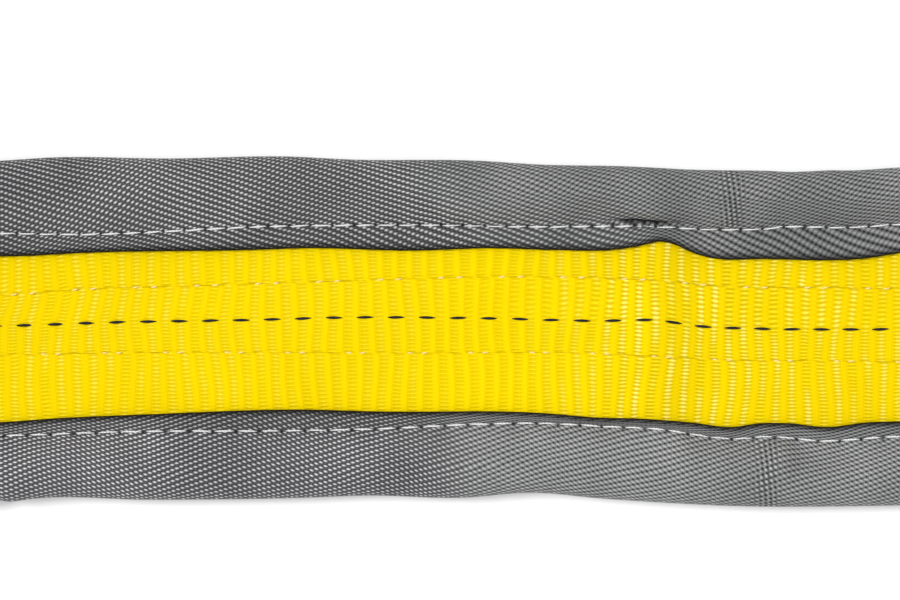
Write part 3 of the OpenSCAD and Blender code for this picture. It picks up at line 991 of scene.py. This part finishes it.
pad_line = offset_line(right_eye_line, -(ply_t + pad_t) / 2 - 0.12)
pad_line = pad_line[right_eye_line[:, 0] > bearing_x - pad_back]
for name, side in sides:
    pad = cloth_strip(f"{name}_eye_wear_pad_cloth", mirrored(pad_line, side), pad_half, pad_t, worn_cloth)
    pad.data.materials.append(grey_cloth)
    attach(pad, f"{name}_eye")
    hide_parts(f"{name}_eye_wear_pad")
    on_line = np.nonzero(right_eye_line[:, 0] > bearing_x - pad_back + 4)[0]
    pad_face = -ply_t / 2 - pad_t - 0.16
    pad_rows = []
    for at in (eye_along[on_line[0]], eye_along[on_line[-1]]):
        for k in range(-4, 5):
            pad_rows.append(eye_dash(at, side, pad_face, k * stitch_pitch, block_stitch, lengthwise=False))
    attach(thread_piece(f"{name}_eye_pad_stitches", pad_rows, white_thread, "end_thread",
                         f"{name}_eye_pad_stitching"), f"{name}_eye")

# ---- Label ----
# A blank tag of blue coated cloth. Its tail is sewn to the left leg by two rows of white stitches, and
# its flap lies loose over the end block and lifts about the tail's end.

flap_low, flap_high = (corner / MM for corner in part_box("label_flap"))
label_half = flap_high.y
label_t = flap_high.z - flap_low.z
label_thread = 0.45
fold_x = tail_low.x


def label_finish():
    """Blue cloth whose coating shows the weave below it, and is scuffed pale in places."""
    made, tree, principled = shader("blue_coated_cloth", 0.42, Specular_IOR_Level=0.5, Coat_Weight=0.15)
    along, across, _ = weave_axes(tree)
    warp = maths(tree, "SINE", maths(tree, "MULTIPLY", along, math.pi / label_thread))
    weft = maths(tree, "SINE", maths(tree, "MULTIPLY", across, math.pi / label_thread))
    weave = maths(tree, "MULTIPLY", warp, weft)
    colour = ramp(tree, grain(tree, 60), (0.3, 0.02, 0.10, 0.42), (0.7, 0.03, 0.14, 0.52))
    scuffs = ramp(tree, grain(tree, 700, 4.0), (0.6, 0, 0, 0), (0.75, 0.5, 0.5, 0.5))
    colour = mix(tree, scuffs, colour, (0.12, 0.25, 0.6, 1))
    tree.links.new(colour, principled.inputs["Base Color"])
    relief_from(tree, principled, weave, 0.00005)
    return made


def label_curl(along, across):
    """The flap's free end lifts a little, more at its corners. The strip runs leftwards, which turns its
    upper side down, so the lift is negative."""
    return -1.4 * ease(along, 30, 70) ** 2 * (0.5 + 0.5 * (across / label_half) ** 2)


label_x = np.linspace(tail_high.x, flap_low.x, 90)
label_z = 2 * ply_t + label_t / 2 + 0.4 * (1 - ease(label_x, fold_x - 3, fold_x + 2))
label_line = np.stack([label_x, label_z], axis=1)
label = cloth_strip("label_tag", label_line, label_half, label_t, label_curl)
label.data.materials.append(label_finish())
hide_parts("label_tail", "label_flap")
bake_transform(label)
label_rows = []
for x in (tail_high.x - 3, tail_low.x + 3):
    for across in across_stitches:
        centre = (x, across, 2 * ply_t + label_t + 0.08)
        label_rows.append((centre, (0.03, 1, 0), (0, 0, 1), *label_stitch))
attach(thread_piece("label_stitches", label_rows, white_thread, "end_thread", "label_stitching"), "left_leg")

# ---- Floor, light and camera ----
# A wide white table, a soft key light from the left, a weaker one from the right and an even white
# surround. The camera looks straight down on the middle, and takes in view_w millimetres of the sling.

bm = bmesh.new()
bmesh.ops.create_grid(bm, x_segments=1, y_segments=1, size=30)
bmesh.ops.translate(bm, verts=bm.verts, vec=(0, 0, -0.0003))
floor_mesh = bpy.data.meshes.new("floor")
bm.to_mesh(floor_mesh)
bm.free()
floor = bpy.data.objects.new("floor", floor_mesh)
bpy.context.scene.collection.objects.link(floor)
floor_white, _, floor_shader = shader("floor_white", 0.9)
floor_shader.inputs["Base Color"].default_value = (0.95, 0.95, 0.95, 1)
floor_mesh.materials.append(floor_white)

world = bpy.data.worlds.new("surround")
world.use_nodes = True
world.node_tree.nodes["Background"].inputs["Color"].default_value = (1, 1, 1, 1)
world.node_tree.nodes["Background"].inputs["Strength"].default_value = 0.72
bpy.context.scene.world = world


def sun(name, strength, from_left, from_far, softness):
    """A soft sun, tilted to come from the left (or right, if negative) and from the far side."""
    light = bpy.data.lights.new(name, "SUN")
    light.energy = strength
    light.angle = math.radians(softness)
    lamp = bpy.data.objects.new(name, light)
    lamp.rotation_euler = (math.radians(-from_far), math.radians(-from_left), 0)
    bpy.context.scene.collection.objects.link(lamp)


sun("key", 2.0, 42, 8, 18)
sun("fill", 0.7, -35, -5, 40)

view_w = 191.5
lens = 200
sensor_w = 36
camera_data = bpy.data.cameras.new("camera")
camera_data.lens = lens
camera_data.sensor_width = sensor_w
camera_data.clip_start = 0.05
camera_data.clip_end = 100
camera = bpy.data.objects.new("camera", camera_data)
camera.location = (0, 6 * MM, (view_w * lens / sensor_w + 7) * MM)
bpy.context.scene.collection.objects.link(camera)
bpy.context.scene.camera = camera
bpy.context.scene.view_settings.view_transform = "Standard"
